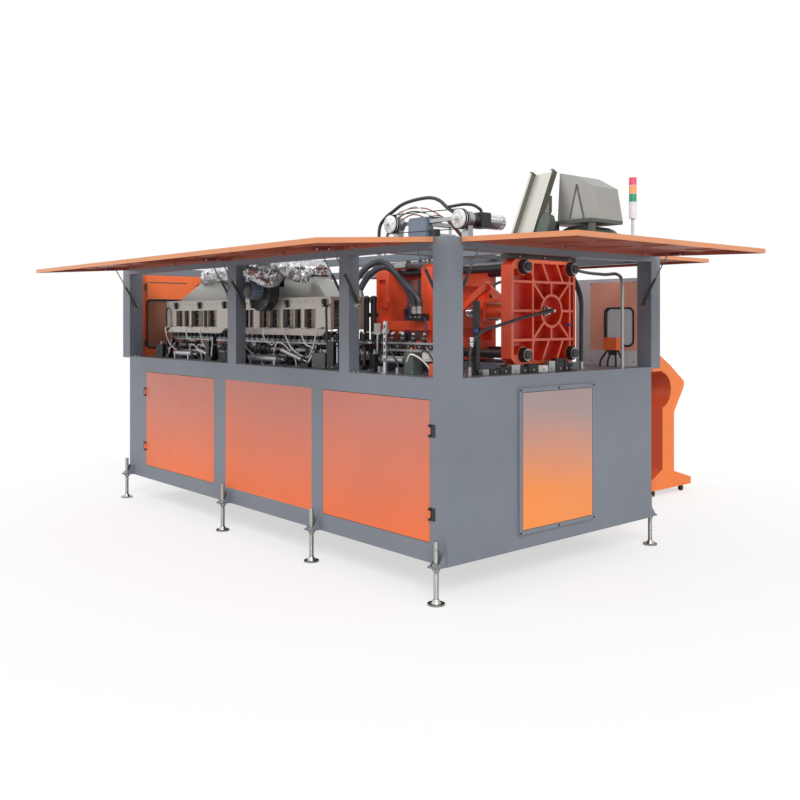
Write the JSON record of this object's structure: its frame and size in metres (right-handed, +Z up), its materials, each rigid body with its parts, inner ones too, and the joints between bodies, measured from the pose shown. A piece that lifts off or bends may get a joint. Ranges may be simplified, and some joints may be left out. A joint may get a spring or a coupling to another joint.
{
  "type": "blow moulding machine",
  "caption": "Linear stretch blow moulding machine with preform ovens, toggle clamp, flap canopy and separate console.",
  "frame": {"origin": "on the floor under the middle of the base cabinet", "axes": "+Z up; +X along the oven line towards the clamp end; the operator's front with its three doors faces -Y"},
  "size_m": [4.9401, 4.7693, 2.5665],
  "materials": {
    "frame_paint": "satin powder coat",
    "door_paint": "satin orange powder coat",
    "flap_paint": "satin light orange powder coat",
    "cast_paint": "gloss red-orange enamel on cast iron",
    "stainless": "brushed",
    "bare_steel": "machined",
    "black_metal": "satin black",
    "chrome": "polished",
    "mould_alloy": "machined",
    "quartz": "frosted quartz tubes",
    "window": "smoked polycarbonate",
    "rubber_hose": "matt",
    "beacon": "translucent lenses in red, amber, green and white"
  },
  "bodies": {
    "machine": {"base_frame": "frame_paint", "table_plate": "bare_steel", "levelling_feet": "bare_steel", "fixed_panels": "door_paint", "door_hinges": "black_metal", "upper_frame": "frame_paint", "guard_panels": "door_paint", "rear_guard": "frame_paint", "guard_windows": "window", "oven_housings": "stainless", "oven_hoods": "stainless", "heater_lamps": "quartz", "exhaust_duct": "stainless", "oven_blower": "black_metal", "chain_rails": "bare_steel", "mandrel_chain": "bare_steel", "chain_drive": "black_metal", "clamp_bed": "bare_steel", "clamp_end_platen": "cast_paint", "clamp_fixed_platen": "cast_paint", "clamp_tie_bars": "black_metal", "mould_half_fixed": "mould_alloy", "clamp_cylinder": "bare_steel", "blow_station": "bare_steel", "roof_drive": "stainless", "preform_chute": "stainless", "chute_hood": "stainless", "machine_hoses": "rubber_hose", "stack_light": "beacon", "operator_console": "door_paint"},
    "front_flap_1": {"front_flap_1": "flap_paint"},
    "front_cylinders_1": {"front_cylinders_1": "black_metal"},
    "front_rods_1": {"front_rods_1": "chrome"},
    "front_flap_2": {"front_flap_2": "flap_paint"},
    "front_cylinders_2": {"front_cylinders_2": "black_metal"},
    "front_rods_2": {"front_rods_2": "chrome"},
    "front_flap_3": {"front_flap_3": "flap_paint"},
    "front_cylinders_3": {"front_cylinders_3": "black_metal"},
    "front_rods_3": {"front_rods_3": "chrome"},
    "right_flap": {"right_flap": "flap_paint"},
    "right_cylinders": {"right_cylinders": "black_metal"},
    "right_rods": {"right_rods": "chrome"},
    "back_flap_1": {"back_flap_1": "flap_paint"},
    "back_cylinders_1": {"back_cylinders_1": "black_metal"},
    "back_rods_1": {"back_rods_1": "chrome"},
    "back_flap_2": {"back_flap_2": "flap_paint"},
    "back_cylinders_2": {"back_cylinders_2": "black_metal"},
    "back_rods_2": {"back_rods_2": "chrome"},
    "front_door_left": {"front_door_left": "door_paint"},
    "front_door_right": {"front_door_right": "door_paint"},
    "service_door": {"service_door": "door_paint"},
    "blower_impeller": {"blower_impeller": "bare_steel"},
    "chain_wheel_left": {"chain_wheel_left": "bare_steel"},
    "chain_wheel_right": {"chain_wheel_right": "bare_steel"},
    "moving_platen": {"clamp_moving_platen": "cast_paint", "mould_half_moving": "mould_alloy", "clamp_rod": "chrome"},
    "toggle_rear_links": {"toggle_rear_links": "cast_paint"},
    "toggle_front_links": {"toggle_front_links": "cast_paint"},
    "stretch_carriage": {"stretch_carriage": "bare_steel"}
  },
  "joints": [
    {"name": "front_flap_1_hinge", "type": "hinge", "parent": "machine", "child": "front_flap_1", "pos_m": [-2.02, -0.976, 1.985], "axis": [1, 0, 0], "range_deg": [0, 86.4]},
    {"name": "front_cylinders_1_pivot", "type": "hinge", "parent": "machine", "child": "front_cylinders_1", "pos_m": [-2.02, -0.9, 1.65], "axis": [1, 0, 0], "range_deg": [-13.27, 0]},
    {"name": "front_rods_1_slide", "type": "slide", "parent": "front_cylinders_1", "child": "front_rods_1", "axis": [0, -0.5194, 0.8545], "range_m": [-0.15029, 0]},
    {"name": "front_flap_2_hinge", "type": "hinge", "parent": "machine", "child": "front_flap_2", "pos_m": [-0.265, -0.976, 1.985], "axis": [1, 0, 0], "range_deg": [0, 86.4]},
    {"name": "front_cylinders_2_pivot", "type": "hinge", "parent": "machine", "child": "front_cylinders_2", "pos_m": [-0.265, -0.9, 1.65], "axis": [1, 0, 0], "range_deg": [-13.27, 0]},
    {"name": "front_rods_2_slide", "type": "slide", "parent": "front_cylinders_2", "child": "front_rods_2", "axis": [0, -0.5194, 0.8545], "range_m": [-0.15029, 0]},
    {"name": "front_flap_3_hinge", "type": "hinge", "parent": "machine", "child": "front_flap_3", "pos_m": [1.083, -0.976, 1.985], "axis": [1, 0, 0], "range_deg": [0, 86.4]},
    {"name": "front_cylinders_3_pivot", "type": "hinge", "parent": "machine", "child": "front_cylinders_3", "pos_m": [1.083, -0.9, 1.65], "axis": [1, 0, 0], "range_deg": [-13.27, 0]},
    {"name": "front_rods_3_slide", "type": "slide", "parent": "front_cylinders_3", "child": "front_rods_3", "axis": [0, -0.5194, 0.8545], "range_m": [-0.15029, 0]},
    {"name": "right_flap_hinge", "type": "hinge", "parent": "machine", "child": "right_flap", "pos_m": [2.016, -0.86, 1.985], "axis": [0, 1, 0], "range_deg": [0, 88.5]},
    {"name": "right_cylinders_pivot", "type": "hinge", "parent": "machine", "child": "right_cylinders", "pos_m": [1.94, -0.86, 1.65], "axis": [0, 1, 0], "range_deg": [-12.98, 0]},
    {"name": "right_rods_slide", "type": "slide", "parent": "right_cylinders", "child": "right_rods", "axis": [0.515, 0, 0.8572], "range_m": [-0.15425, 0]},
    {"name": "back_flap_1_hinge", "type": "hinge", "parent": "machine", "child": "back_flap_1", "pos_m": [1.9, 1.081, 1.985], "axis": [-1, 0, 0], "range_deg": [0, 90]},
    {"name": "back_cylinders_1_pivot", "type": "hinge", "parent": "machine", "child": "back_cylinders_1", "pos_m": [1.9, 1.005, 1.65], "axis": [-1, 0, 0], "range_deg": [-12.76, 0]},
    {"name": "back_rods_1_slide", "type": "slide", "parent": "back_cylinders_1", "child": "back_rods_1", "axis": [0, 0.5118, 0.8591], "range_m": [-0.15705, 0]},
    {"name": "back_flap_2_hinge", "type": "hinge", "parent": "machine", "child": "back_flap_2", "pos_m": [-0.059, 1.081, 1.985], "axis": [-1, 0, 0], "range_deg": [0, 90]},
    {"name": "back_cylinders_2_pivot", "type": "hinge", "parent": "machine", "child": "back_cylinders_2", "pos_m": [-0.059, 1.005, 1.65], "axis": [-1, 0, 0], "range_deg": [-12.76, 0]},
    {"name": "back_rods_2_slide", "type": "slide", "parent": "back_cylinders_2", "child": "back_rods_2", "axis": [0, 0.5118, 0.8591], "range_m": [-0.15705, 0]},
    {"name": "front_door_left_hinge", "type": "hinge", "parent": "machine", "child": "front_door_left", "pos_m": [-1.683, -0.968, 0.7], "axis": [0, 0, -1], "range_deg": [0, 110]},
    {"name": "front_door_right_hinge", "type": "hinge", "parent": "machine", "child": "front_door_right", "pos_m": [1.865, -0.968, 0.7], "axis": [0, 0, 1], "range_deg": [0, 110]},
    {"name": "service_door_hinge", "type": "hinge", "parent": "machine", "child": "service_door", "pos_m": [2.002, -0.346, 0.7], "axis": [0, 0, -1], "range_deg": [0, 105]},
    {"name": "blower_impeller_spin", "type": "hinge", "parent": "machine", "child": "blower_impeller", "pos_m": [-0.075, -0.818, 1.752], "axis": [0, 1, 0], "continuous": true},
    {"name": "chain_wheel_left_spin", "type": "hinge", "parent": "machine", "child": "chain_wheel_left", "pos_m": [-1.69, -0.53, 1.39], "axis": [0, 0, 1], "continuous": true},
    {"name": "chain_wheel_right_spin", "type": "hinge", "parent": "machine", "child": "chain_wheel_right", "pos_m": [0.91, -0.53, 1.39], "axis": [0, 0, 1], "continuous": true},
    {"name": "clamp_slide", "type": "slide", "parent": "machine", "child": "moving_platen", "axis": [1, 0, 0], "range_m": [-0.0997, 0]},
    {"name": "toggle_rear_pivot", "type": "hinge", "parent": "machine", "child": "toggle_rear_links", "pos_m": [1.64, 0.111, 1.598], "axis": [0, 1, 0], "range_deg": [-34.07, 0]},
    {"name": "toggle_front_pivot", "type": "hinge", "parent": "moving_platen", "child": "toggle_front_links", "pos_m": [1.16, 0.111, 1.598], "axis": [0, 1, 0], "range_deg": [0, 34.07]},
    {"name": "stretch_slide", "type": "slide", "parent": "machine", "child": "stretch_carriage", "axis": [0, 0, 1], "range_m": [-0.19, 0]}
  ],
  "couplings": [
    {"joint": "front_cylinders_1_pivot", "follows": "front_flap_1_hinge", "ratio": -0.15343},
    {"joint": "front_rods_1_slide", "follows": "front_flap_1_hinge", "m_per_rad": -0.09953},
    {"joint": "front_cylinders_2_pivot", "follows": "front_flap_2_hinge", "ratio": -0.15343},
    {"joint": "front_rods_2_slide", "follows": "front_flap_2_hinge", "m_per_rad": -0.09953},
    {"joint": "front_cylinders_3_pivot", "follows": "front_flap_3_hinge", "ratio": -0.15343},
    {"joint": "front_rods_3_slide", "follows": "front_flap_3_hinge", "m_per_rad": -0.09953},
    {"joint": "right_cylinders_pivot", "follows": "right_flap_hinge", "ratio": -0.14651},
    {"joint": "right_rods_slide", "follows": "right_flap_hinge", "m_per_rad": -0.099736},
    {"joint": "back_cylinders_1_pivot", "follows": "back_flap_1_hinge", "ratio": -0.14167},
    {"joint": "back_rods_1_slide", "follows": "back_flap_1_hinge", "m_per_rad": -0.099854},
    {"joint": "back_cylinders_2_pivot", "follows": "back_flap_2_hinge", "ratio": -0.14167},
    {"joint": "back_rods_2_slide", "follows": "back_flap_2_hinge", "m_per_rad": -0.099854},
    {"joint": "chain_wheel_left_spin", "follows": "chain_wheel_right_spin", "ratio": 1},
    {"joint": "toggle_rear_pivot", "follows": "clamp_slide", "rad_per_m": 5.96},
    {"joint": "toggle_front_pivot", "follows": "clamp_slide", "rad_per_m": -5.96}
  ]
}
